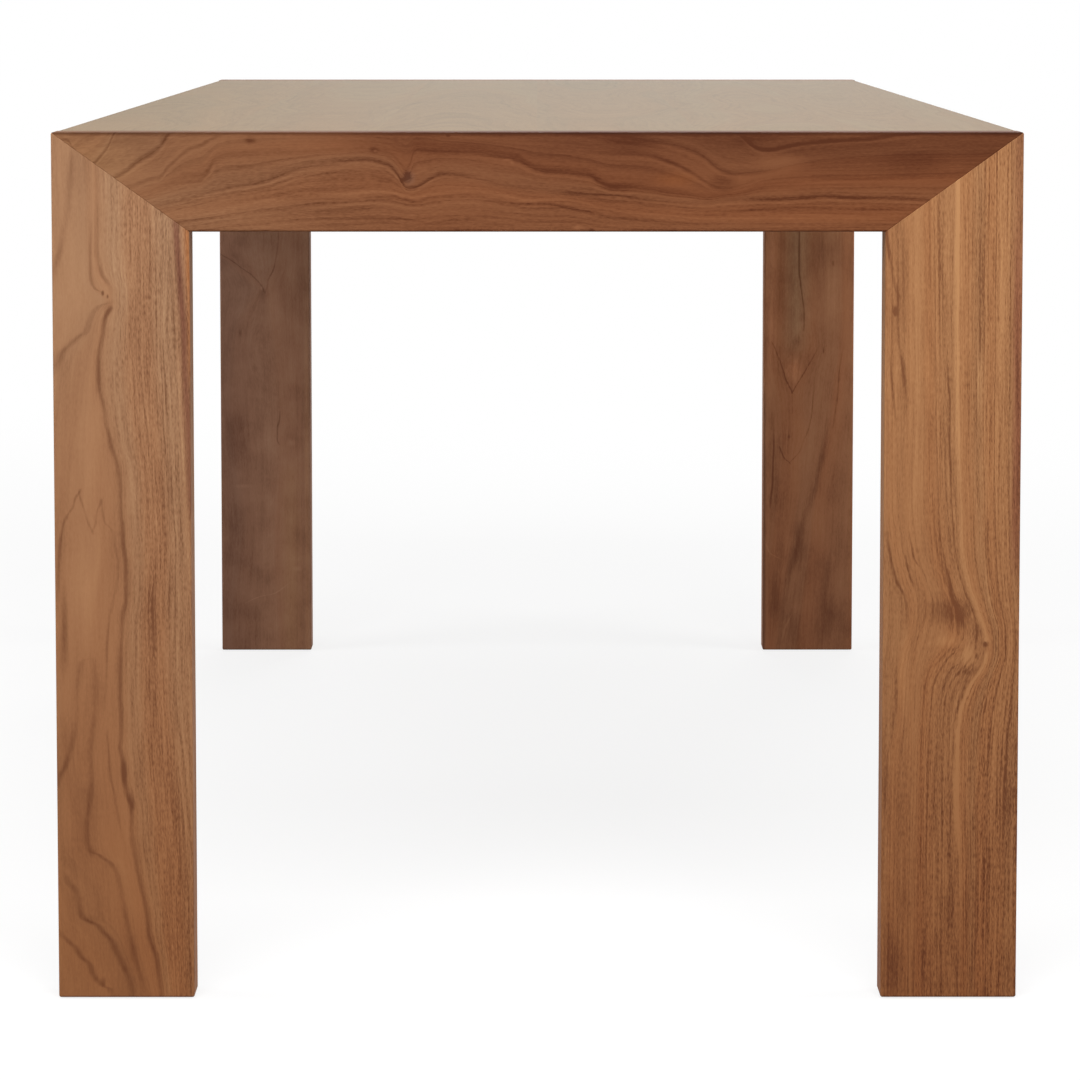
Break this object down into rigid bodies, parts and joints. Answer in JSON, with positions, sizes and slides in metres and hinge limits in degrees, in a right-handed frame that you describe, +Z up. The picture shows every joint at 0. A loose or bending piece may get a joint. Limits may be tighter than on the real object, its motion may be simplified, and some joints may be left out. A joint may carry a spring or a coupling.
{
  "type": "parsons dining table",
  "caption": "Rectangular dining table on two flat mitred portal frames, with a boarded top flush between them, side rails and a bolted steel angle in each corner.",
  "frame": {"origin": "on the floor, under the middle of the top", "axes": "+X across the table to the right, +Y along it from the front end to the rear end, +Z up"},
  "size_m": [0.84, 2, 0.76],
  "materials": {
    "walnut_frame": "satin lacquer",
    "walnut_top": "satin lacquer",
    "walnut_rail": "satin lacquer",
    "batten_wood": "oiled",
    "beech": "bare",
    "black_steel": "black powder coat",
    "zinc_steel": "bright zinc",
    "brass": "turned",
    "nylon": "brown nylon"
  },
  "bodies": {
    "root": {"batten_1": "batten_wood", "batten_2": "batten_wood", "batten_3": "batten_wood", "batten_screws": "zinc_steel", "batten_washers": "zinc_steel", "bracket_bolts": "zinc_steel", "bracket_washers": "zinc_steel", "clip_screws": "zinc_steel", "floor_glides": "nylon", "front_end_rail": "walnut_frame", "front_end_spline": "beech", "front_left_bracket": "black_steel", "front_left_leg": "walnut_frame", "front_left_mitre_tenons": "beech", "front_right_bracket": "black_steel", "front_right_leg": "walnut_frame", "front_right_mitre_tenons": "beech", "front_tabletop_clips": "zinc_steel", "glide_screws": "zinc_steel", "left_rail_biscuits": "beech", "left_side_rail": "walnut_rail", "rail_dowels": "beech", "rear_end_rail": "walnut_frame", "rear_end_spline": "beech", "rear_left_bracket": "black_steel", "rear_left_leg": "walnut_frame", "rear_left_mitre_tenons": "beech", "rear_right_bracket": "black_steel", "rear_right_leg": "walnut_frame", "rear_right_mitre_tenons": "beech", "rear_tabletop_clips": "zinc_steel", "right_rail_biscuits": "beech", "right_side_rail": "walnut_rail", "threaded_inserts": "brass", "top_board_1": "walnut_top", "top_board_2": "walnut_top", "top_board_3": "walnut_top", "top_board_4": "walnut_top", "top_board_5": "walnut_top", "top_board_6": "walnut_top"}
  },
  "joints": []
}
